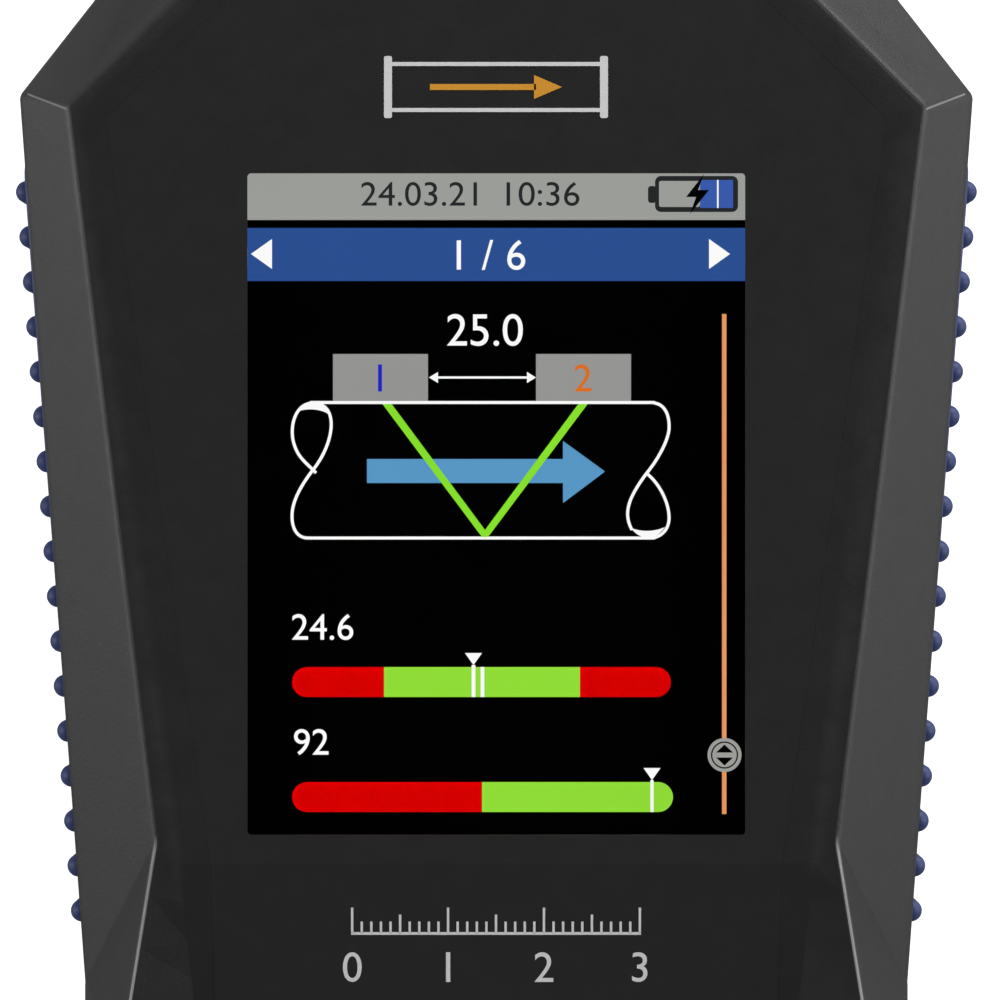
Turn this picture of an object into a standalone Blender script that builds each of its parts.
# Hand-held ultrasonic flow meter, lying on its back.
# Metres. +Z comes out of the display, +Y points to the end with the sensor sockets.
# The origin is under the centre of the whole box.

import math

import bmesh
import bpy
from mathutils import Matrix, Vector

# Housing
LENGTH = 0.165
THICKNESS = 0.032
SHOULDER_HALF = 0.04175
WAIST_BESIDE_WINDOW = 0.0147
END_HALF = 0.0292
FOOT_IN = 0.0077
SHOULDER_DROP = 0.0166
FOOT_RISE = 0.0085
SIDE_SLOPE = 1.2
EDGE_BREAK = 0.0003

# Front facets, measured inwards from the rim
CROWN_SHOULDER_IN = 0.00455
CROWN_SHOULDER_SET = 0.0012
CROWN_WAIST_IN = 0.0067
CROWN_END_IN = 0.00695
CROWN_END_SET = 0.003
CREST_IN = 0.0037
CREST_FOOT_RISE = 0.0115
TOE_SET = 0.0045
FLOOR_DEPTH = 0.0016
FLOOR_IN = 0.0102
RAMP_TOP_IN = 0.00865
RAMP_DROP = 0.002

# Clearances above the keypad
CREST_TURN_CLEAR = 0.004
RAMP_CLEAR = 0.0075
FILM_CLEAR = 0.0082
TAPER_CLEAR = 0.01

# Walls and seams
PARTING_Z = 0.008
SIDE_WALL = 0.0036
CEILING_DROP = 0.0032
CROWN_INSET = 0.0008
RIM_LIFT = 0.0003
BACK_WALL = 0.0022
BACK_CHAMFER = 0.004
LIP_HEIGHT = 0.0012
LIP_WIDTH = 0.0012
FIT = 0.0003

# Display
WINDOW_WIDTH = 0.0432
WINDOW_HEIGHT = 0.0574
WINDOW_CORNER = 0.0003
WAIST_BELOW_WINDOW = 0.00045
OVERLAY_THICKNESS = 0.0004
OVERLAY_MARGIN = 0.0033
OVERLAY_SINK = 0.0001
LENS_THICKNESS = 0.001
LENS_BORDER = 0.002
LENS_CORNER = 0.0008
RECESS_CORNER = 0.001
OPENING_CORNER = 0.0006
LEDGE_WIDTH = 0.0014
GASKET_THICKNESS = 0.0005
PANEL_WIDER = 0.0068
PANEL_TALLER = 0.0118
PANEL_DROP = 0.0012
PANEL_THICKNESS = 0.0016
BACKLIGHT_THICKNESS = 0.0024
FRAME_WALL = 0.001
FRAME_DEPTH = 0.003
FLEX_WIDTH = 0.018
FLEX_THICKNESS = 0.0003
FLEX_UNDER_PANEL = 0.006
FLEX_ON_BOARD = 0.005
FLEX_STEPS = 8

# Keys
KEY_NAMES = (
    ("menu", "up", "back"),
    ("left", "ok", "right"),
    ("zero", "down", "power"),
)
KEY_WIDTH = 0.013
KEY_HEIGHT = 0.009
KEY_CORNER = 0.0022
KEY_PROUD = 0.0013
KEY_BREAK = 0.0005
KEY_GAP = 0.0003
KEY_FLANGE = 0.0009
KEY_FLANGE_THICKNESS = 0.0011
KEY_TRAVEL = 0.0005
KEY_PITCH_X = 0.0165
STEM_RADIUS = 0.0016
SWITCH_SIDE = 0.006
SWITCH_HEIGHT = 0.0035
SWITCH_WELL = 0.0021
STEM_DIP = 0.0005

# Parts of the free length that lie between window, keys and ends
ABOVE_WINDOW_PARTS = 473
ABOVE_KEYS_PARTS = 469
KEY_GAP_PARTS = 110
BELOW_KEYS_PARTS = 380

# Board
BOARD_THICKNESS = 0.0016
BOARD_DROP = 0.0112
BOARD_SIDE_CLEAR = 0.0017
BOARD_TAIL_IN = 0.0075
BOARD_TOP_INSET = 0.0171
BOARD_FOOT_INSET = 0.0066
BOARD_TAIL_LENGTH = 0.014
BOARD_CORNER = 0.006
BOSS_BESIDE_WINDOW = 0.007
BOARD_BOSS_TOP = 0.031
BOARD_BOSS_FOOT = 0.0245
BOARD_BOSS_RADIUS = 0.0021
BOARD_SCREW_RADIUS = 0.00085

# Case screws
CASE_BOSS_RADIUS = 0.0032
CASE_TOP_IN = 0.01075
CASE_TOP_SET = 0.0135
CASE_FOOT_IN = 0.0081
CASE_FOOT_RISE = 0.0122
CASE_SCREW_RADIUS = 0.00125
CASE_HEAD_RADIUS = 0.0023
CASE_HEAD_HEIGHT = 0.0017
CASE_HEAD_SEAT = 0.0034
CASE_SCREW_LENGTH = 0.011
PILOT_DEPTH = 0.0095

# Grips
NUB_PITCH = 0.00398
NUB_RADIUS = 0.001
NUB_COUNT_DEEP = 4
NUB_START = 0.0061
GRIP_END_CLEAR = 0.00375
GRIP_MID_Z = 0.0131
GRIP_MARGIN = 0.0016
GRIP_INSET = 0.00125
GRIP_PROUD = 0.0003
GRIP_CORNER = 0.0026

# Sensor sockets
SOCKET_REACH = 0.0035
SOCKET_X = 0.013
SOCKET_Z = 0.015
SOCKET_FLANGE = 0.0055
SOCKET_BREAK = 0.0006
SOCKET_BARREL = 0.0044
SOCKET_BORE = 0.0033
SOCKET_BORE_DEPTH = 0.0085
SOCKET_PIN = 0.0006
SOCKET_PIN_LENGTH = 0.0026
SOCKET_TAIL = 0.002
SOCKET_TAIL_LENGTH = 0.004
SOCKET_NUT = 0.0062
SOCKET_NUT_THICKNESS = 0.0024
SOCKET_NUT_CLEAR = 0.0018
LEAD_RADIUS = 0.0008
LEAD_STRAIGHT = 0.002
LEAD_BEND = 0.0004
LEAD_LANDING = 0.0015
LEAD_EASE = 0.0008

# USB socket
USB_WIDTH = 0.009
USB_HEIGHT = 0.0033
USB_CORNER = 0.0015
USB_LENGTH = 0.0073
USB_SLOT_WIDTH = 0.0084
USB_SLOT_HEIGHT = 0.0026
USB_SLOT_CORNER = 0.0012
USB_SLOT_DEPTH = 0.006
USB_TONGUE_WIDTH = 0.0063
USB_TONGUE_HEIGHT = 0.0007

# Battery and board parts
PACK_WIDTH = 0.046
PACK_HEIGHT = 0.0095
PACK_CORNER = 0.003
PACK_HEAD_Y = -0.012
PACK_FOOT_SET = 0.0125
PAD_THICKNESS = 0.0008
PAD_INSET = 0.002
TRAY_WALL = 0.0012
TRAY_HEIGHT = 0.004
TRAY_CORNER_CLEAR = 0.008
SHIELD_WIDTH = 0.030
SHIELD_HEIGHT = 0.003
SHIELD_CORNER = 0.001
SHIELD_FOOT_Y = 0.030
SHIELD_TOP_SET = 0.025
BUZZER_RADIUS = 0.006
BUZZER_HEIGHT = 0.005
BUZZER_X = -0.018
BUZZER_Y = 0.014
CELL_RADIUS = 0.00625
CELL_HEIGHT = 0.0032
CELL_X = 0.0
CELL_Y = 0.014
CONNECTOR_WIDTH = 0.008
CONNECTOR_LENGTH = 0.006
CONNECTOR_HEIGHT = 0.005
CONNECTOR_X = 0.018
CONNECTOR_Y = 0.001

# Widths worked out from the window and the shoulder
WAIST_HALF = WINDOW_WIDTH / 2 + WAIST_BESIDE_WINDOW
FOOT_HALF = WAIST_HALF - FOOT_IN
CROWN_WAIST_HALF = WAIST_HALF - CROWN_WAIST_IN
CREST_HALF = WAIST_HALF - CREST_IN
FLOOR_HALF = WAIST_HALF - FLOOR_IN
RAMP_TOP_HALF = WAIST_HALF - RAMP_TOP_IN
CROWN_SHOULDER_HALF = SHOULDER_HALF - CROWN_SHOULDER_IN
CROWN_END_HALF = END_HALF - CROWN_END_IN
BOARD_HALF = WAIST_HALF - SIDE_WALL - BOARD_SIDE_CLEAR
BOARD_TAIL_HALF = BOARD_HALF - BOARD_TAIL_IN
BOARD_BOSS_X = WINDOW_WIDTH / 2 + BOSS_BESIDE_WINDOW
CASE_TOP_X = SHOULDER_HALF - CASE_TOP_IN
CASE_FOOT_X = WAIST_HALF - CASE_FOOT_IN
PANEL_WIDTH = WINDOW_WIDTH + PANEL_WIDER
PANEL_HEIGHT = WINDOW_HEIGHT + PANEL_TALLER

# Places along the length
BOTTOM_Y = -LENGTH / 2
TOP_Y = LENGTH / 2 - SOCKET_REACH
SHOULDER_Y = TOP_Y - SHOULDER_DROP
ROWS = len(KEY_NAMES)
FREE_LENGTH = LENGTH - SOCKET_REACH - WINDOW_HEIGHT - ROWS * KEY_HEIGHT
FREE_PARTS = ABOVE_WINDOW_PARTS + ABOVE_KEYS_PARTS + (ROWS - 1) * KEY_GAP_PARTS + BELOW_KEYS_PARTS
FREE_PART = FREE_LENGTH / FREE_PARTS
WINDOW_Y = TOP_Y - ABOVE_WINDOW_PARTS * FREE_PART - WINDOW_HEIGHT / 2
WINDOW_FOOT_Y = WINDOW_Y - WINDOW_HEIGHT / 2
WAIST_Y = WINDOW_FOOT_Y - WAIST_BELOW_WINDOW
KEYPAD_EDGE_Y = WINDOW_FOOT_Y - ABOVE_KEYS_PARTS * FREE_PART
KEYPAD_TOP_Y = KEYPAD_EDGE_Y - KEY_HEIGHT / 2
KEY_PITCH_Y = KEY_HEIGHT + KEY_GAP_PARTS * FREE_PART
CREST_TURN_Y = KEYPAD_EDGE_Y + CREST_TURN_CLEAR
RAMP_TOP_Y = WAIST_Y - RAMP_DROP
RAMP_FOOT_Y = KEYPAD_EDGE_Y + RAMP_CLEAR
FILM_END_Y = KEYPAD_EDGE_Y + FILM_CLEAR
TAPER_FOOT_Y = KEYPAD_EDGE_Y + TAPER_CLEAR
PANEL_Y = WINDOW_Y - PANEL_DROP
PACK_LENGTH = PACK_HEAD_Y - BOTTOM_Y - PACK_FOOT_SET
PACK_MID_Y = PACK_HEAD_Y - PACK_LENGTH / 2
SHIELD_LENGTH = TOP_Y - SHIELD_TOP_SET - SHIELD_FOOT_Y
SHIELD_Y = SHIELD_FOOT_Y + SHIELD_LENGTH / 2
BOARD_TOP_Y = TOP_Y - BOARD_TOP_INSET

# Heights
FLOOR_Z = THICKNESS - FLOOR_DEPTH
CEILING_Z = THICKNESS - CEILING_DROP
OVERLAY_TOP_Z = THICKNESS - OVERLAY_SINK
OVERLAY_BOTTOM_Z = OVERLAY_TOP_Z - OVERLAY_THICKNESS
OVERLAY_SEAT_Z = OVERLAY_BOTTOM_Z - FIT
LENS_TOP_Z = OVERLAY_BOTTOM_Z - FIT
LENS_SEAT_Z = LENS_TOP_Z - LENS_THICKNESS - FIT
GASKET_TOP_Z = CEILING_Z - FIT
PANEL_TOP_Z = GASKET_TOP_Z - GASKET_THICKNESS - FIT
BACKLIGHT_TOP_Z = PANEL_TOP_Z - PANEL_THICKNESS - FIT
BOARD_TOP_Z = THICKNESS - BOARD_DROP
BOARD_BOTTOM_Z = BOARD_TOP_Z - BOARD_THICKNESS
SWITCH_TOP_Z = BOARD_TOP_Z + FIT + SWITCH_HEIGHT
SWITCH_WELL_DEPTH = STEM_DIP + KEY_TRAVEL + FIT
PACK_BOTTOM_Z = BACK_WALL + FIT + PAD_THICKNESS + FIT
PACK_TOP_Z = PACK_BOTTOM_Z + PACK_HEIGHT

ROUND = 20
SMALL_ROUND = 12


def clear_scene():
    for old in list(bpy.data.objects):
        bpy.data.objects.remove(old, do_unlink=True)


def material(name, colour, roughness, metallic=0.0, alpha=1.0):
    made = bpy.data.materials.new(name)
    made.use_nodes = True
    shader = made.node_tree.nodes["Principled BSDF"]
    shader.inputs["Base Color"].default_value = (*colour, 1.0)
    shader.inputs["Roughness"].default_value = roughness
    shader.inputs["Metallic"].default_value = metallic
    shader.inputs["Alpha"].default_value = alpha
    made.diffuse_color = (*colour, alpha)
    return made


def node(name, mesh, look):
    mesh.name = name
    mesh.materials.clear()
    mesh.materials.append(look)
    made = bpy.data.objects.new(name, mesh)
    bpy.context.scene.collection.objects.link(made)
    return made


def finish_mesh(shape):
    bmesh.ops.recalc_face_normals(shape, faces=shape.faces)
    mesh = bpy.data.meshes.new("shape")
    shape.to_mesh(mesh)
    shape.free()
    return mesh


def add_loft(shape, loops):
    """Closed solid through loops of equal count, from the bottom one to the top one."""
    rings = [[shape.verts.new(point) for point in loop] for loop in loops]
    count = len(rings[0])
    for low, high in zip(rings, rings[1:]):
        for i in range(count):
            j = (i + 1) % count
            shape.faces.new((low[i], low[j], high[j], high[i]))
    shape.faces.new(list(reversed(rings[0])))
    shape.faces.new(rings[-1])


def loft(loops):
    shape = bmesh.new()
    add_loft(shape, loops)
    return finish_mesh(shape)


def at_height(outline, z):
    return [(x, y, z) for x, y in outline]


def add_prism(shape, outline, low, high):
    add_loft(shape, [at_height(outline, low), at_height(outline, high)])


def prism(outline, low, high):
    return loft([at_height(outline, low), at_height(outline, high)])


def circle(x, y, radius, count=ROUND):
    turn = 2 * math.pi / count
    return [
        (x + radius * math.cos(turn * (i + 0.5)), y + radius * math.sin(turn * (i + 0.5)))
        for i in range(count)
    ]


def rectangle(x, y, width, height):
    a, b = width / 2, height / 2
    return [(x - a, y - b), (x + a, y - b), (x + a, y + b), (x - a, y + b)]


def rounded(x, y, width, height, radius, steps=3):
    points = []
    corners = ((1, 1, 0), (-1, 1, 90), (-1, -1, 180), (1, -1, 270))
    for sx, sy, start in corners:
        cx = x + sx * (width / 2 - radius)
        cy = y + sy * (height / 2 - radius)
        for i in range(steps + 1):
            angle = math.radians(start + 90 * i / steps)
            points.append((cx + radius * math.cos(angle), cy + radius * math.sin(angle)))
    return points


def offset(outline, inset):
    """Outline moved inwards by inset, mitred at its corners. It runs anticlockwise."""
    moved = []
    count = len(outline)
    for i in range(count):
        before = Vector(outline[i - 1])
        here = Vector(outline[i])
        after = Vector(outline[(i + 1) % count])
        first = (here - before).normalized()
        second = (after - here).normalized()
        inward = Vector((-first.y - second.y, first.x + second.x)).normalized()
        reach = inset / inward.dot(Vector((-first.y, first.x)))
        moved.append(tuple(here + inward * reach))
    return moved


def boolean(target, other, operation):
    """Leaves a live Boolean on target. Its cutter or addition is only a guide object."""
    guide = bpy.data.objects.new(target.name + "_guide", other)
    bpy.context.scene.collection.objects.link(guide)
    guide.display_type = "WIRE"
    guide.hide_render = True
    step = target.modifiers.new(operation.title(), "BOOLEAN")
    step.operation = operation
    step.solver = "EXACT"
    step.object = guide
    return step


def cut(target, cutter):
    boolean(target, cutter, "DIFFERENCE")


def join(target, addition):
    boolean(target, addition, "UNION")


def smooth(target, angle=35):
    target.data.shade_smooth()
    target.data.set_sharp_from_angle(angle=math.radians(angle))


# Housing outline

def rim_plan():
    """Right half of the widest outline, from the foot to the sockets end."""
    return {
        "toe": (FOOT_HALF, BOTTOM_Y),
        "foot": (WAIST_HALF, BOTTOM_Y + FOOT_RISE),
        "waist": (WAIST_HALF, TAPER_FOOT_Y),
        "shoulder": (SHOULDER_HALF, SHOULDER_Y),
        "end": (END_HALF, TOP_Y),
    }


def crown_plan():
    """Right half of the edge round the front face and along the two crests."""
    return {
        "toe": (FLOOR_HALF, BOTTOM_Y + TOE_SET),
        "foot": (CREST_HALF, BOTTOM_Y + CREST_FOOT_RISE),
        "turn": (CREST_HALF, CREST_TURN_Y),
        "waist": (CROWN_WAIST_HALF, WAIST_Y),
        "shoulder": (CROWN_SHOULDER_HALF, SHOULDER_Y - CROWN_SHOULDER_SET),
        "end": (CROWN_END_HALF, TOP_Y - CROWN_END_SET),
    }


def both_sides(half):
    """Closed anticlockwise outline from the right half, listed foot first."""
    right = list(half.values())
    left = [(-x, y) for x, y in reversed(right)]
    return right + left


def plane_height(place, a, b, c):
    normal = (Vector(b) - Vector(a)).cross(Vector(c) - Vector(a))
    x, y = place
    return a[2] - (normal.x * (x - a[0]) + normal.y * (y - a[1])) / normal.z


def rim_heights():
    """Rim heights that keep every front facet flat."""
    rim, crown = rim_plan(), crown_plan()
    top = {name: (*place, THICKNESS) for name, place in crown.items()}
    top["toe"] = (*crown["toe"], FLOOR_Z)
    along = Vector(crown["shoulder"]) - Vector(crown["waist"])
    across = Vector((along.y, -along.x)).normalized()
    heights = {}
    for name in ("waist", "shoulder"):
        away = (Vector(rim[name]) - Vector(crown["waist"])).dot(across)
        heights[name] = THICKNESS - SIDE_SLOPE * away
    heights["foot"] = heights["waist"]
    shoulder = (*rim["shoulder"], heights["shoulder"])
    heights["end"] = plane_height(rim["end"], top["shoulder"], top["end"], shoulder)
    foot = (*rim["foot"], heights["foot"])
    heights["toe"] = plane_height(rim["toe"], top["foot"], top["toe"], foot)
    return heights


SIDE_FACETS = (
    ("crown end", "crown shoulder", "rim shoulder", "rim end"),
    ("crown shoulder", "crown waist", "rim waist", "rim shoulder"),
    ("crown waist", "crown turn", "rim waist"),
    ("crown turn", "crown foot", "rim foot", "rim waist"),
    ("crown foot", "crown toe", "rim toe", "rim foot"),
    ("rim end", "rim shoulder", "base shoulder", "base end"),
    ("rim shoulder", "rim waist", "base waist", "base shoulder"),
    ("rim waist", "rim foot", "base foot", "base waist"),
    ("rim foot", "rim toe", "base toe", "base foot"),
)
MIDDLE_FACETS = (
    ("crown end", "rim end"),
    ("rim end", "base end"),
    ("crown toe", "rim toe"),
    ("rim toe", "base toe"),
)
RIM_NAMES = ("toe", "foot", "waist", "shoulder", "end")


def facet_solid(points, side_facets, crown_facets):
    """Faceted block. points holds the right half, and the left half mirrors it."""
    shape = bmesh.new()
    right = {name: shape.verts.new(place) for name, place in points.items()}
    left = {name: shape.verts.new((-x, y, z)) for name, (x, y, z) in points.items()}
    for names in side_facets:
        shape.faces.new([right[name] for name in names])
        shape.faces.new([left[name] for name in reversed(names)])
    for upper, lower in MIDDLE_FACETS:
        shape.faces.new((right[upper], left[upper], left[lower], right[lower]))
    for names in crown_facets:
        shape.faces.new([right[name] for name in names] + [left[name] for name in reversed(names)])
    base = ["base " + name for name in RIM_NAMES]
    shape.faces.new([right[name] for name in base] + [left[name] for name in reversed(base)])
    return finish_mesh(shape)


def outer_points():
    points = {}
    heights = rim_heights()
    for name, (x, y) in rim_plan().items():
        points["rim " + name] = (x, y, heights[name])
        points["base " + name] = (x, y, PARTING_Z)
    for name, (x, y) in crown_plan().items():
        points["crown " + name] = (x, y, THICKNESS)
    toe_x, toe_y = crown_plan()["toe"]
    points["crown toe"] = (toe_x, toe_y, FLOOR_Z)
    points["crease top"] = (RAMP_TOP_HALF, RAMP_TOP_Y, THICKNESS)
    points["crease foot"] = (FLOOR_HALF, RAMP_FOOT_Y, FLOOR_Z)
    return points


def ridge_strips(points, count=4):
    """Points along the crest and the crease, and the twisted strips between them."""
    names = {"crest": ["crown waist"], "crease": ["crease top"]}
    ends = {"crest": ("crown waist", "crown turn"), "crease": ("crease top", "crease foot")}
    for line, (start, stop) in ends.items():
        a, b = Vector(points[start]), Vector(points[stop])
        for i in range(1, count):
            name = f"{line} {i}"
            points[name] = tuple(a.lerp(b, i / count))
            names[line].append(name)
        names[line].append(stop)
    strips = []
    for i in range(count):
        crest, crease = names["crest"], names["crease"]
        strips.append((crease[i], crease[i + 1], crest[i + 1], crest[i]))
    return names, strips


def outer_block():
    """Outside of the front shell, with its ridges and its sunk keypad floor."""
    points = outer_points()
    lines, strips = ridge_strips(points)
    turn_facet = ("crown waist", "crown turn", "rim waist")
    facets = [names for names in SIDE_FACETS if names != turn_facet]
    facets.append(tuple(lines["crest"]) + ("rim waist",))
    facets += strips
    facets.append(("crease foot", "crown toe", "crown foot", "crown turn"))
    face = ("crease top", "crown waist", "crown shoulder", "crown end")
    ramp = tuple(reversed(lines["crease"]))
    floor = ("crown toe", "crease foot")
    return facet_solid(points, facets, (face, ramp, floor))


def inner_block(base):
    """Hollow of the front shell: the same facets moved in by the wall."""
    heights = rim_heights()
    rim = offset(both_sides(rim_plan()), SIDE_WALL)
    crown = offset(both_sides(crown_plan()), CROWN_INSET)
    points = {}
    for name, (x, y) in zip(RIM_NAMES, rim):
        points["rim " + name] = (x, y, heights[name] + RIM_LIFT)
        points["base " + name] = (x, y, base)
    for name, (x, y) in zip(crown_plan(), crown):
        points["crown " + name] = (x, y, CEILING_Z)
    crown_names = tuple("crown " + name for name in crown_plan())
    return facet_solid(points, SIDE_FACETS, (crown_names,))


# Places of bosses, keys and grips

def case_screw_places():
    top = TOP_Y - CASE_TOP_SET
    foot = BOTTOM_Y + CASE_FOOT_RISE
    return ((-CASE_TOP_X, top), (CASE_TOP_X, top), (-CASE_FOOT_X, foot), (CASE_FOOT_X, foot))


def board_screw_places():
    top = TOP_Y - BOARD_BOSS_TOP
    foot = BOTTOM_Y + BOARD_BOSS_FOOT
    return tuple((side * BOARD_BOSS_X, y) for y in (top, foot) for side in (-1, 1))


def key_places():
    places = {}
    for row, names in enumerate(KEY_NAMES):
        for column, name in enumerate(names):
            x = (column - 1) * KEY_PITCH_X
            places[name] = (x, KEYPAD_TOP_Y - row * KEY_PITCH_Y)
    return places


def wall_line():
    """Start, direction and outward normal of the right side wall, seen from the front."""
    start = Vector(rim_plan()["waist"])
    along = (Vector(rim_plan()["shoulder"]) - start).normalized()
    return start, along, Vector((along.y, -along.x))


def nub_rows():
    """As many rows of nubs as the side wall has room for."""
    wall = (Vector(rim_plan()["shoulder"]) - Vector(rim_plan()["waist"])).length
    ends = 2 * (GRIP_END_CLEAR + NUB_RADIUS + GRIP_MARGIN)
    return 1 + int((wall - ends) / NUB_PITCH)


def grip_frame(side):
    """Matrix whose X runs along the wall, Y is world Z and Z points out of the wall."""
    start, along, out = wall_line()
    lowest = start + along * (NUB_START / along.y)
    middle = lowest + along * (NUB_PITCH * (nub_rows() - 1) / 2)
    frame = Matrix((
        (side * along.x, 0, side * out.x, side * middle.x),
        (along.y, 0, out.y, middle.y),
        (0, 1, 0, GRIP_MID_Z),
        (0, 0, 0, 1),
    ))
    return frame


def grip_size(grow=0.0):
    reach = 2 * (NUB_RADIUS + GRIP_MARGIN + grow)
    width = NUB_PITCH * (nub_rows() - 1) + reach
    return width, NUB_PITCH * (NUB_COUNT_DEEP - 1) + reach


def placed(mesh, frame):
    """Mesh moved by frame. A mirrored frame turns the faces, so they are turned back."""
    mesh.transform(frame)
    shape = bmesh.new()
    shape.from_mesh(mesh)
    bmesh.ops.recalc_face_normals(shape, faces=shape.faces)
    shape.to_mesh(mesh)
    shape.free()
    return mesh


def grip_pocket(side):
    width, height = grip_size(FIT)
    outline = rounded(0, 0, width, height, GRIP_CORNER + FIT)
    return placed(prism(outline, -GRIP_INSET - FIT, SIDE_WALL), grip_frame(side))


def cylinder_along_y(x, z, radius, low, high, count=ROUND):
    ring = circle(x, z, radius, count)
    return loft([[(px, y, pz) for px, pz in ring] for y in (low, high)])


# Shells

def overlay_outline(grow=0.0):
    """Right half of the face film, its window end last."""
    crown = crown_plan()
    half = {
        "tail": (RAMP_TOP_HALF - OVERLAY_MARGIN, FILM_END_Y),
        "waist": crown["waist"],
        "shoulder": crown["shoulder"],
        "end": crown["end"],
    }
    outline = offset(both_sides(half), OVERLAY_MARGIN - grow)
    middle = len(outline) // 2
    tail_x = half["tail"][0] + grow
    tail_y = half["tail"][1] - grow
    right = [(tail_x, tail_y), (tail_x + FIT, RAMP_TOP_Y)] + outline[2:middle]
    return right + [(-x, y) for x, y in reversed(right)]


def overlay_height(y, z):
    """Height on the film: flat on the face, then down the ramp."""
    below = max(0.0, RAMP_TOP_Y - y)
    return z - below * FLOOR_DEPTH / (RAMP_TOP_Y - RAMP_FOOT_Y)


def film(outline, low, high):
    """Film bent once along the top of the ramp."""
    shape = bmesh.new()
    layers = []
    for z in (low, high):
        layers.append([shape.verts.new((x, y, overlay_height(y, z))) for x, y in outline])
    count = len(outline)
    for i in range(count):
        j = (i + 1) % count
        shape.faces.new((layers[0][i], layers[0][j], layers[1][j], layers[1][i]))
    for layer in layers:
        shape.faces.new([layer[0], layer[1], layer[-2], layer[-1]])
        shape.faces.new(layer[1:-1])
    return finish_mesh(shape)


def lens_recess():
    border = 2 * (LENS_BORDER + FIT)
    size = (WINDOW_WIDTH + border, WINDOW_HEIGHT + border)
    return prism(rounded(0, WINDOW_Y, *size, RECESS_CORNER), LENS_SEAT_Z, THICKNESS)


def window_opening(low, high):
    border = 2 * (LENS_BORDER - LEDGE_WIDTH)
    size = (WINDOW_WIDTH + border, WINDOW_HEIGHT + border)
    return prism(rounded(0, WINDOW_Y, *size, OPENING_CORNER), low, high)


def key_openings():
    shape = bmesh.new()
    grow = 2 * KEY_GAP
    for x, y in key_places().values():
        outline = rounded(x, y, KEY_WIDTH + grow, KEY_HEIGHT + grow, KEY_CORNER + KEY_GAP)
        add_prism(shape, outline, CEILING_Z - SIDE_WALL, THICKNESS)
    return finish_mesh(shape)


def front_posts():
    """Posts under the roof for the case screws and for the board."""
    shape = bmesh.new()
    root = CEILING_Z + CEILING_DROP / 4
    for x, y in case_screw_places():
        add_prism(shape, circle(x, y, CASE_BOSS_RADIUS), PARTING_Z + FIT, root)
    for x, y in board_screw_places():
        add_prism(shape, circle(x, y, BOARD_BOSS_RADIUS), BOARD_TOP_Z + FIT, root)
    return finish_mesh(shape)


def front_holes():
    """Pilot holes in the posts, socket holes in the end wall and the USB slot."""
    shape = bmesh.new()
    for x, y in case_screw_places():
        pilot = circle(x, y, CASE_SCREW_RADIUS + FIT, SMALL_ROUND)
        add_prism(shape, pilot, 0, PARTING_Z + PILOT_DEPTH)
    for x, y in board_screw_places():
        pilot = circle(x, y, BOARD_SCREW_RADIUS + FIT, SMALL_ROUND)
        add_prism(shape, pilot, BOARD_BOTTOM_Z, CEILING_Z - FRAME_WALL)
    for side in (-1, 1):
        ring = circle(side * SOCKET_X, SOCKET_Z, SOCKET_BARREL + FIT)
        ends = (TOP_Y - 2 * SIDE_WALL, TOP_Y + SIDE_WALL)
        add_loft(shape, [[(x, y, z) for x, z in ring] for y in ends])
    slot = rectangle(0, usb_middle_z(), USB_WIDTH + 2 * FIT, USB_HEIGHT + 2 * FIT)
    ends = (BOTTOM_Y - FIT, BOTTOM_Y + 2 * SIDE_WALL)
    add_loft(shape, [[(x, y, z) for x, z in slot] for y in ends])
    return finish_mesh(shape)


def display_frame():
    """Locating wall that hangs from the roof round the display."""
    inner_w, inner_h = PANEL_WIDTH + 2 * FIT, PANEL_HEIGHT + 2 * FIT
    grow = 2 * FRAME_WALL
    outer = rectangle(0, PANEL_Y, inner_w + grow, inner_h + grow)
    inner = rectangle(0, PANEL_Y, inner_w, inner_h)
    low, high = CEILING_Z - FRAME_DEPTH, CEILING_Z + CEILING_DROP / 4
    shape = bmesh.new()
    corners = {}
    for name, outline in (("outer", outer), ("inner", inner)):
        for z in (low, high):
            corners[name, z] = [shape.verts.new((x, y, z)) for x, y in outline]
    for i in range(4):
        j = (i + 1) % 4
        for name in ("outer", "inner"):
            a, b = corners[name, low], corners[name, high]
            shape.faces.new((a[i], a[j], b[j], b[i]))
        for z in (low, high):
            a, b = corners["outer", z], corners["inner", z]
            shape.faces.new((a[i], a[j], b[j], b[i]))
    return finish_mesh(shape)


def usb_middle_z():
    return BOARD_BOTTOM_Z - FIT - USB_HEIGHT / 2


def lip_groove():
    """Step in the front shell's rim that takes the rear shell's lip."""
    outline = offset(both_sides(rim_plan()), SIDE_WALL - LIP_WIDTH - FIT)
    return prism(outline, PARTING_Z - LIP_HEIGHT, PARTING_Z + LIP_HEIGHT + FIT)


def front_shell(look):
    shell = node("front_shell", outer_block(), look)
    edges = shell.modifiers.new("Edges", "BEVEL")
    edges.width = EDGE_BREAK
    edges.segments = 2
    edges.limit_method = "ANGLE"
    edges.angle_limit = math.radians(25)
    cut(shell, inner_block(PARTING_Z - SIDE_WALL))
    join(shell, front_posts())
    join(shell, display_frame())
    cut(shell, film(overlay_outline(FIT / 2), OVERLAY_SEAT_Z, THICKNESS + SIDE_WALL))
    cut(shell, lens_recess())
    cut(shell, window_opening(CEILING_Z - FRAME_WALL, THICKNESS))
    cut(shell, key_openings())
    cut(shell, lip_groove())
    cut(shell, front_holes())
    cut(shell, grip_pocket(1))
    cut(shell, grip_pocket(-1))
    return shell


def rear_block(look):
    outline = both_sides(rim_plan())
    back = offset(outline, BACK_CHAMFER)
    loops = [at_height(back, 0), at_height(outline, BACK_CHAMFER)]
    loops.append(at_height(outline, PARTING_Z - EDGE_BREAK))
    return node("rear_shell", loft(loops), look)


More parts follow.
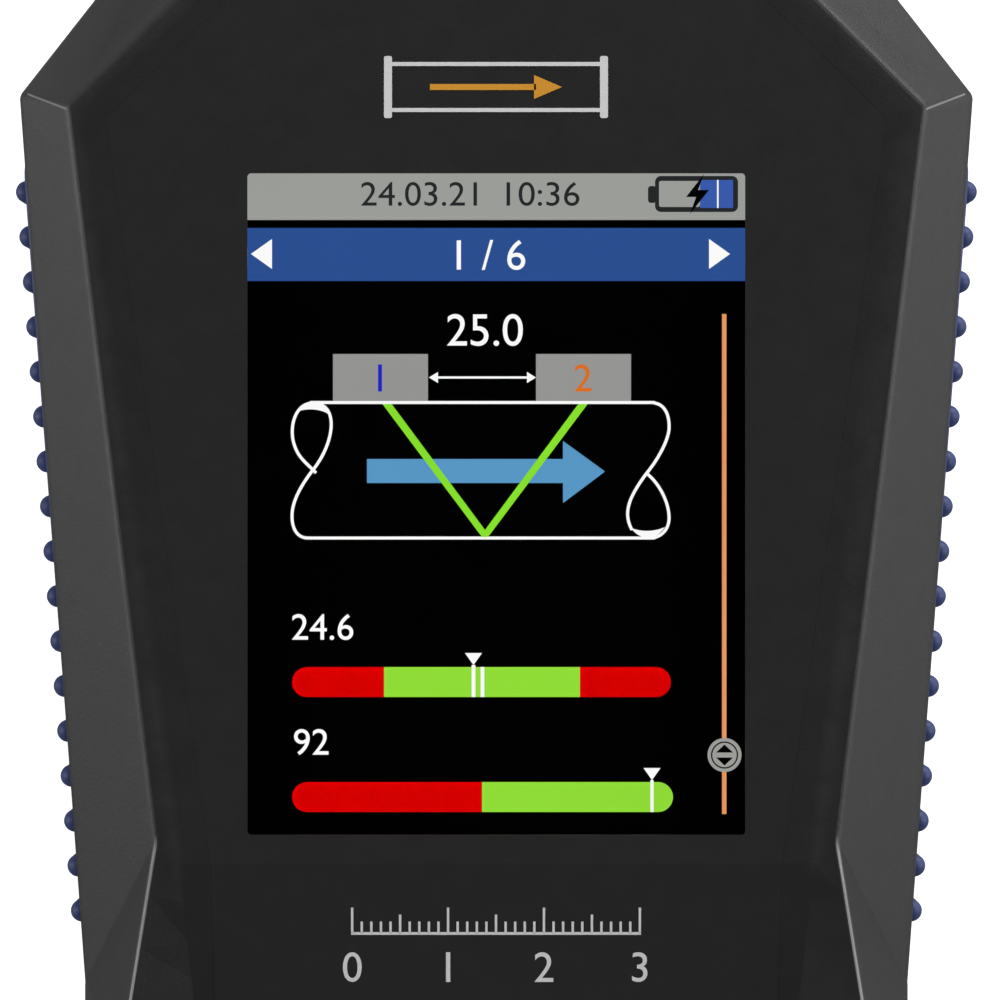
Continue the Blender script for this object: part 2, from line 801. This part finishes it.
def rear_hollow():
    outline = offset(both_sides(rim_plan()), SIDE_WALL)
    floor = offset(outline, BACK_CHAMFER / 2)
    loops = [at_height(floor, BACK_WALL), at_height(outline, BACK_CHAMFER + BACK_WALL / 2)]
    loops.append(at_height(outline, PARTING_Z + SIDE_WALL))
    return loft(loops)


def rear_lip():
    """Raised inner lip of the rear shell."""
    outer = offset(both_sides(rim_plan()), SIDE_WALL - LIP_WIDTH)
    inner = offset(both_sides(rim_plan()), SIDE_WALL)
    root, top = PARTING_Z - 2 * LIP_HEIGHT, PARTING_Z + LIP_HEIGHT
    shape = bmesh.new()
    rings = []
    for outline, z in ((outer, root), (outer, top), (inner, top), (inner, root)):
        rings.append([shape.verts.new(point) for point in at_height(outline, z)])
    count = len(outer)
    for k in range(4):
        low, high = rings[k], rings[(k + 1) % 4]
        for i in range(count):
            j = (i + 1) % count
            shape.faces.new((low[i], low[j], high[j], high[i]))
    return finish_mesh(shape)


def rear_posts():
    shape = bmesh.new()
    for x, y in case_screw_places():
        add_prism(shape, circle(x, y, CASE_BOSS_RADIUS), BACK_WALL / 2, PARTING_Z)
    return finish_mesh(shape)


def tray_walls():
    """Low walls that keep the battery pack in place, one on each side of it."""
    shape = bmesh.new()
    low, high = BACK_WALL / 2, BACK_WALL + TRAY_HEIGHT
    out_x = PACK_WIDTH / 2 + FIT + TRAY_WALL / 2
    out_y = PACK_LENGTH / 2 + FIT + TRAY_WALL / 2
    for side in (-1, 1):
        wall = rectangle(side * out_x, PACK_MID_Y, TRAY_WALL, PACK_LENGTH - 2 * TRAY_CORNER_CLEAR)
        add_prism(shape, wall, low, high)
        end_wall = PACK_WIDTH - 2 * TRAY_CORNER_CLEAR
        wall = rectangle(0, PACK_MID_Y + side * out_y, end_wall, TRAY_WALL)
        add_prism(shape, wall, low, high)
    return finish_mesh(shape)


def rear_holes():
    shape = bmesh.new()
    for x, y in case_screw_places():
        wide = circle(x, y, CASE_HEAD_RADIUS + FIT)
        add_prism(shape, wide, -FIT, CASE_HEAD_SEAT - FIT)
    return finish_mesh(shape)


def rear_bores():
    shape = bmesh.new()
    for x, y in case_screw_places():
        narrow = circle(x, y, CASE_SCREW_RADIUS + FIT, SMALL_ROUND)
        add_prism(shape, narrow, CASE_HEAD_SEAT - 2 * FIT, PARTING_Z + SIDE_WALL)
    return finish_mesh(shape)


def rear_shell(look):
    shell = rear_block(look)
    cut(shell, rear_hollow())
    join(shell, rear_lip())
    join(shell, rear_posts())
    join(shell, tray_walls())
    cut(shell, rear_holes())
    cut(shell, rear_bores())
    cut(shell, grip_pocket(1))
    cut(shell, grip_pocket(-1))
    return shell


# Grips

def nub_places():
    rows = nub_rows()
    for i in range(rows):
        for j in range(NUB_COUNT_DEEP):
            yield (
                (i - (rows - 1) / 2) * NUB_PITCH,
                (j - (NUB_COUNT_DEEP - 1) / 2) * NUB_PITCH,
            )


def add_nub(shape, x, y, root, sides=8):
    """Low dome with a short root inside the pad."""
    loops = [(1.0, root), (1.0, GRIP_PROUD), (0.72, GRIP_PROUD + 0.7 * NUB_RADIUS)]
    rings = []
    for share, z in loops:
        outline = circle(x, y, NUB_RADIUS * share, sides)
        rings.append([shape.verts.new(point) for point in at_height(outline, z)])
    for low, high in zip(rings, rings[1:]):
        for i in range(sides):
            j = (i + 1) % sides
            shape.faces.new((low[i], low[j], high[j], high[i]))
    tip = shape.verts.new((x, y, GRIP_PROUD + NUB_RADIUS))
    for i in range(sides):
        shape.faces.new((rings[-1][i], rings[-1][(i + 1) % sides], tip))
    shape.faces.new(list(reversed(rings[0])))


def grip(name, side, look):
    width, height = grip_size()
    pad = prism(rounded(0, 0, width, height, GRIP_CORNER), -GRIP_INSET, GRIP_PROUD)
    nubs = bmesh.new()
    for x, y in nub_places():
        add_nub(nubs, x, y, -GRIP_INSET / 2)
    frame = grip_frame(side)
    body = node(name, placed(pad, frame), look)
    join(body, placed(finish_mesh(nubs), frame))
    smooth(body, 50)
    return body


# Face and display

def face_overlay(look):
    mesh = film(overlay_outline(-FIT / 2), OVERLAY_BOTTOM_Z, OVERLAY_TOP_Z)
    sheet = node("face_overlay", mesh, look)
    window = rounded(0, WINDOW_Y, WINDOW_WIDTH, WINDOW_HEIGHT, WINDOW_CORNER)
    cut(sheet, prism(window, LENS_SEAT_Z, THICKNESS + FIT))
    return sheet


def display_stack(looks):
    lens = (WINDOW_WIDTH + 2 * LENS_BORDER, WINDOW_HEIGHT + 2 * LENS_BORDER)
    outline = rounded(0, WINDOW_Y, *lens, LENS_CORNER)
    node("display_window", prism(outline, LENS_TOP_Z - LENS_THICKNESS, LENS_TOP_Z), looks["clear"])
    border = 2 * LENS_BORDER
    outline = rectangle(0, WINDOW_Y, WINDOW_WIDTH + border, WINDOW_HEIGHT + border)
    gasket_low = GASKET_TOP_Z - GASKET_THICKNESS
    gasket = node("display_gasket", prism(outline, gasket_low, GASKET_TOP_Z), looks["foam"])
    border = 2 * (LENS_BORDER - LEDGE_WIDTH)
    outline = rectangle(0, WINDOW_Y, WINDOW_WIDTH + border, WINDOW_HEIGHT + border)
    cut(gasket, prism(outline, gasket_low - FIT, GASKET_TOP_Z + FIT))
    panel = rectangle(0, PANEL_Y, PANEL_WIDTH, PANEL_HEIGHT)
    low = PANEL_TOP_Z - PANEL_THICKNESS
    node("display_panel", prism(panel, low, PANEL_TOP_Z), looks["screen"])
    low = BACKLIGHT_TOP_Z - BACKLIGHT_THICKNESS
    node("display_backlight", prism(panel, low, BACKLIGHT_TOP_Z), looks["white"])


def ribbon(path, thickness, width, x):
    """Flat strip of even thickness that follows a path in the YZ plane."""
    left, right = [], []
    for i, here in enumerate(path):
        before = Vector(path[max(i - 1, 0)])
        after = Vector(path[min(i + 1, len(path) - 1)])
        along = (after - before).normalized()
        side = Vector((-along.y, along.x)) * thickness / 2
        left.append(Vector(here) + side)
        right.append(Vector(here) - side)
    ring = left + list(reversed(right))
    return loft([[(x + s * width / 2, p.x, p.y) for p in ring] for s in (-1, 1)])


def display_flex(look):
    """Film lead from under the display down to the board, with a round bend."""
    start_y = PANEL_Y - PANEL_HEIGHT / 2 - FRAME_WALL - 3 * FIT
    top_z = CEILING_Z - FRAME_DEPTH - 2 * FIT
    under_z = BACKLIGHT_TOP_Z - BACKLIGHT_THICKNESS - FIT - FLEX_THICKNESS / 2
    low_z = BOARD_TOP_Z + FIT + FLEX_THICKNESS / 2
    top_z = min(top_z, under_z)
    radius = (top_z - low_z) / 2
    path = [(start_y + FLEX_UNDER_PANEL, top_z), (start_y, top_z)]
    for i in range(1, FLEX_STEPS):
        angle = math.radians(90 + 180 * i / FLEX_STEPS)
        path.append((start_y + radius * math.cos(angle), top_z - radius + radius * math.sin(angle)))
    path += [(start_y, low_z), (start_y + FLEX_ON_BOARD, low_z)]
    return node("display_flex", ribbon(path, FLEX_THICKNESS, FLEX_WIDTH, 0), look)


# Keys and switches

def key_mesh():
    """Cap with broken top edge, a flange that stops it under the roof, and its stem."""
    top = FLOOR_Z + KEY_PROUD
    flange_top = CEILING_Z - FIT
    flange_low = flange_top - KEY_FLANGE_THICKNESS
    wide = rounded(0, 0, KEY_WIDTH + 2 * KEY_FLANGE, KEY_HEIGHT + 2 * KEY_FLANGE, KEY_CORNER)
    cap = rounded(0, 0, KEY_WIDTH, KEY_HEIGHT, KEY_CORNER)
    small = 2 * KEY_BREAK
    brow = rounded(0, 0, KEY_WIDTH - small, KEY_HEIGHT - small, KEY_CORNER - KEY_BREAK)
    loops = [at_height(wide, flange_low), at_height(wide, flange_top), at_height(cap, flange_top)]
    loops += [at_height(cap, top - KEY_BREAK), at_height(brow, top)]
    body = bpy.data.objects.new("key_shape", loft(loops))
    bpy.context.scene.collection.objects.link(body)
    stem_low = SWITCH_TOP_Z - STEM_DIP
    join(body, prism(circle(0, 0, STEM_RADIUS, SMALL_ROUND), stem_low, flange_low + KEY_BREAK))
    return taken(body)


def taken(body):
    """Evaluated mesh of a helper object, which is then removed with its guides."""
    depsgraph = bpy.context.evaluated_depsgraph_get()
    mesh = bpy.data.meshes.new_from_object(body.evaluated_get(depsgraph))
    for step in body.modifiers:
        bpy.data.objects.remove(step.object)
    bpy.data.objects.remove(body)
    return mesh


def switch_mesh():
    low = BOARD_TOP_Z + FIT
    outline = rectangle(0, 0, SWITCH_SIDE, SWITCH_SIDE)
    body = bpy.data.objects.new("switch_shape", prism(outline, low, SWITCH_TOP_Z))
    bpy.context.scene.collection.objects.link(body)
    well = circle(0, 0, SWITCH_WELL, SMALL_ROUND)
    cut(body, prism(well, SWITCH_TOP_Z - SWITCH_WELL_DEPTH, SWITCH_TOP_Z + FIT))
    return taken(body)


def keypad(key_look, switch_look):
    cap, housing = key_mesh(), switch_mesh()
    for name, (x, y) in key_places().items():
        key = node("key_" + name, cap.copy(), key_look)
        key.location = (x, y, 0)
        switch = node("switch_" + name, housing.copy(), switch_look)
        switch.location = (x, y, 0)


# Board and what it carries

def board_outline():
    top, foot = BOARD_TOP_Y, BOTTOM_Y + BOARD_FOOT_INSET
    shelf = foot + BOARD_TAIL_LENGTH
    right = [
        (BOARD_TAIL_HALF, foot),
        (BOARD_TAIL_HALF, shelf),
        (BOARD_HALF, shelf),
        (BOARD_HALF, top - BOARD_CORNER),
        (BOARD_HALF - BOARD_CORNER, top),
    ]
    return right + [(-x, y) for x, y in reversed(right)]


def main_board(look):
    board = node("main_board", prism(board_outline(), BOARD_BOTTOM_Z, BOARD_TOP_Z), look)
    holes = bmesh.new()
    for x, y in board_screw_places():
        ring = circle(x, y, BOARD_SCREW_RADIUS + FIT, SMALL_ROUND)
        add_prism(holes, ring, BOARD_BOTTOM_Z - FIT, BOARD_TOP_Z + FIT)
    cut(board, finish_mesh(holes))
    return board


def under_board(name, outline, height, look):
    top = BOARD_BOTTOM_Z - FIT
    return node(name, prism(outline, top - height, top), look)


def board_parts(looks):
    outline = rounded(0, SHIELD_Y, SHIELD_WIDTH, SHIELD_LENGTH, SHIELD_CORNER)
    under_board("shield_can", outline, SHIELD_HEIGHT, looks["tin"])
    outline = circle(BUZZER_X, BUZZER_Y, BUZZER_RADIUS)
    smooth(under_board("buzzer", outline, BUZZER_HEIGHT, looks["black"]))
    outline = circle(CELL_X, CELL_Y, CELL_RADIUS)
    smooth(under_board("backup_cell", outline, CELL_HEIGHT, looks["steel"]))
    outline = rectangle(CONNECTOR_X, CONNECTOR_Y, CONNECTOR_WIDTH, CONNECTOR_LENGTH)
    under_board("battery_connector", outline, CONNECTOR_HEIGHT, looks["white"])


def usb_socket(look):
    middle = usb_middle_z()
    face_y = BOTTOM_Y + 2 * FIT
    outline = rounded(0, middle, USB_WIDTH, USB_HEIGHT, USB_CORNER, 2)
    ends = (face_y, face_y + USB_LENGTH)
    body = node("usb_socket", loft([[(x, y, z) for x, z in outline] for y in ends]), look)
    slot = rounded(0, middle, USB_SLOT_WIDTH, USB_SLOT_HEIGHT, USB_SLOT_CORNER, 2)
    ends = (face_y - FIT, face_y + USB_SLOT_DEPTH)
    cut(body, loft([[(x, y, z) for x, z in slot] for y in ends]))
    tongue = rectangle(0, middle, USB_TONGUE_WIDTH, USB_TONGUE_HEIGHT)
    ends = (face_y + FIT, face_y + USB_SLOT_DEPTH + FIT)
    join(body, loft([[(x, y, z) for x, z in tongue] for y in ends]))
    return body


def battery(looks):
    outline = rounded(0, PACK_MID_Y, PACK_WIDTH, PACK_LENGTH, PACK_CORNER)
    pack = node("battery_pack", prism(outline, PACK_BOTTOM_Z, PACK_TOP_Z), looks["wrap"])
    smooth(pack)
    margin = 2 * PAD_INSET
    outline = rectangle(0, PACK_MID_Y, PACK_WIDTH - margin, PACK_LENGTH - margin)
    low = BACK_WALL + FIT
    node("battery_pad", prism(outline, low, low + PAD_THICKNESS), looks["foam"])


def lead(name, points, look):
    """Lead held inside the housing, as a round tube along a smooth curve."""
    curve = bpy.data.curves.new(name, "CURVE")
    curve.dimensions = "3D"
    curve.bevel_depth = LEAD_RADIUS
    curve.bevel_resolution = 2
    curve.use_fill_caps = True
    line = curve.splines.new("POLY")
    route = smooth_route([Vector(point) for point in points])
    line.points.add(len(route) - 1)
    for target, place in zip(line.points, route):
        target.co = (*place, 1)
    curve.materials.append(look)
    made = bpy.data.objects.new(name, curve)
    bpy.context.scene.collection.objects.link(made)
    return made


def smooth_route(points, steps=4):
    """Catmull-Rom curve through the points."""
    ends = [points[0] * 2 - points[1]] + points + [points[-1] * 2 - points[-2]]
    route = []
    for i in range(1, len(ends) - 2):
        a, b, c, d = ends[i - 1:i + 3]
        for k in range(steps):
            t = k / steps
            route.append(0.5 * (2 * b + (c - a) * t + (2 * a - 5 * b + 4 * c - d) * t * t
                                + (3 * b - a - 3 * c + d) * t ** 3))
    route.append(points[-1])
    return route


def battery_lead(look):
    pack_edge = PACK_HEAD_Y
    plug_z = BOARD_BOTTOM_Z - FIT - CONNECTOR_HEIGHT / 2
    plug_y = CONNECTOR_Y - CONNECTOR_LENGTH / 2 - FIT
    start_z = (PACK_BOTTOM_Z + PACK_TOP_Z) / 2
    gap = plug_y - pack_edge - FIT
    points = [
        (CONNECTOR_X, pack_edge + FIT, start_z),
        (CONNECTOR_X, pack_edge + gap * 0.45, start_z + LEAD_EASE),
        (CONNECTOR_X, pack_edge + gap * 0.6, (start_z + plug_z) / 2),
        (CONNECTOR_X, pack_edge + gap * 0.75, plug_z - LEAD_EASE),
        (CONNECTOR_X, plug_y, plug_z),
    ]
    return lead("battery_lead", points, look)


def screw(name, x, y, seat, length, radius, head_radius, head_height, look):
    """Pan head below its seat, shank upwards."""
    rings = (
        (head_radius * 0.7, seat - head_height),
        (head_radius, seat - head_height * 0.65),
        (head_radius, seat),
        (radius, seat),
        (radius, seat + length - radius),
        (radius * 0.5, seat + length),
    )
    loops = [at_height(circle(x, y, size, SMALL_ROUND), z) for size, z in rings]
    made = node(name, loft(loops), look)
    socket = circle(x, y, head_radius * 0.45, 6)
    cut(made, prism(socket, seat - head_height - FIT, seat - head_height * 0.4))
    smooth(made)
    return made


def screws(look):
    head = (CASE_HEAD_RADIUS, CASE_HEAD_HEIGHT)
    seat = CASE_HEAD_SEAT - 2 * FIT
    for i, (x, y) in enumerate(case_screw_places(), 1):
        screw(f"case_screw_{i}", x, y, seat, CASE_SCREW_LENGTH, CASE_SCREW_RADIUS, *head, look)
    seat = BOARD_BOTTOM_Z - FIT
    length = BOARD_THICKNESS + BOARD_DROP - CEILING_DROP - FRAME_WALL - FIT
    head = (BOARD_SCREW_RADIUS * 2, BOARD_SCREW_RADIUS * 1.4)
    for i, (x, y) in enumerate(board_screw_places(), 1):
        screw(f"board_screw_{i}", x, y, seat, length, BOARD_SCREW_RADIUS, *head, look)


# Sensor sockets

def turned(profile, x, count=24):
    """Solid turned about a line along Y. profile lists (radius, y) from the tail to the face."""
    shape = bmesh.new()
    rings = []
    for radius, y in profile:
        ring = circle(x, SOCKET_Z, radius, count)
        rings.append([shape.verts.new((px, y, pz)) for px, pz in ring])
    for low, high in zip(rings, rings[1:]):
        for i in range(count):
            j = (i + 1) % count
            shape.faces.new((low[i], low[j], high[j], high[i]))
    shape.faces.new(rings[0])
    shape.faces.new(rings[-1])
    return finish_mesh(shape)


def sensor_socket(name, x, look, nut_look):
    flange_back = TOP_Y + FIT
    face = TOP_Y + SOCKET_REACH
    tail = TOP_Y - SIDE_WALL - SOCKET_NUT_THICKNESS - SOCKET_NUT_CLEAR
    tail_end = tail - SOCKET_TAIL_LENGTH
    pin_root = face - SOCKET_BORE_DEPTH
    pin_tip = pin_root + SOCKET_PIN_LENGTH
    profile = [
        (SOCKET_TAIL, tail_end),
        (SOCKET_TAIL, tail),
        (SOCKET_BARREL, tail),
        (SOCKET_BARREL, flange_back),
        (SOCKET_FLANGE, flange_back),
        (SOCKET_FLANGE, face - SOCKET_BREAK),
        (SOCKET_FLANGE - SOCKET_BREAK, face),
        (SOCKET_BORE, face),
        (SOCKET_BORE, pin_root),
        (SOCKET_PIN, pin_root),
        (SOCKET_PIN, pin_tip),
    ]
    body = node("socket_" + name, turned(profile, x), look)
    smooth(body)
    nut_face = TOP_Y - SIDE_WALL - FIT
    ends = (nut_face - SOCKET_NUT_THICKNESS, nut_face)
    hexagon = circle(x, SOCKET_Z, SOCKET_NUT, 6)
    mesh = loft([[(px, y, pz) for px, pz in hexagon] for y in ends])
    nut = node("socket_nut_" + name, mesh, nut_look)
    cut(nut, cylinder_along_y(x, SOCKET_Z, SOCKET_BARREL + FIT, ends[0] - FIT, ends[1] + FIT))
    return tail_end


def socket_lead(name, x, start_y, look):
    """Short lead from a socket's tail up to the underside of the board."""
    top = BOARD_BOTTOM_Z - FIT
    land_y = BOARD_TOP_Y - LEAD_LANDING
    points = [
        (x, start_y - FIT, SOCKET_Z),
        (x, land_y + LEAD_STRAIGHT, SOCKET_Z),
        (x, land_y + LEAD_BEND, SOCKET_Z + (top - SOCKET_Z) * 0.45),
        (x, land_y, top),
    ]
    return lead("socket_lead_" + name, points, look)


def main():
    clear_scene()
    looks = {
        "case": material("black_case", (0.018, 0.018, 0.019), 0.5),
        "grip": material("blue_grip", (0.06, 0.08, 0.16), 0.55),
        "film": material("black_film", (0.016, 0.016, 0.017), 0.45),
        "clear": material("clear_window", (0.9, 0.92, 0.93), 0.05, 0.0, 0.25),
        "screen": material("display_glass", (0.01, 0.01, 0.012), 0.1),
        "white": material("white_plastic", (0.8, 0.8, 0.78), 0.5),
        "black": material("black_plastic", (0.02, 0.02, 0.02), 0.45),
        "foam": material("black_foam", (0.03, 0.03, 0.03), 0.95),
        "key": material("key_plastic", (0.10, 0.105, 0.11), 0.5),
        "flex": material("amber_film", (0.45, 0.22, 0.05), 0.4),
        "board": material("green_board", (0.02, 0.16, 0.07), 0.45),
        "tin": material("tinned_steel", (0.62, 0.63, 0.64), 0.3, 1.0),
        "steel": material("zinc_steel", (0.6, 0.6, 0.6), 0.3, 1.0),
        "wrap": material("battery_wrap", (0.05, 0.13, 0.35), 0.4),
        "lead": material("lead_sleeve", (0.12, 0.02, 0.02), 0.5),
        "blue": material("blue_socket", (0.03, 0.09, 0.5), 0.35),
        "orange": material("orange_socket", (0.8, 0.27, 0.02), 0.35),
    }
    front_shell(looks["case"])
    rear_shell(looks["case"])
    grip("grip_right", 1, looks["grip"])
    grip("grip_left", -1, looks["grip"])
    face_overlay(looks["film"])
    display_stack(looks)
    display_flex(looks["flex"])
    keypad(looks["key"], looks["black"])
    main_board(looks["board"])
    board_parts(looks)
    usb_socket(looks["steel"])
    battery(looks)
    battery_lead(looks["lead"])
    screws(looks["steel"])
    for name, side in (("blue", -1), ("orange", 1)):
        x = side * SOCKET_X
        tail = sensor_socket(name, x, looks[name], looks["steel"])
        socket_lead(name, x, tail, looks["lead"])


main()
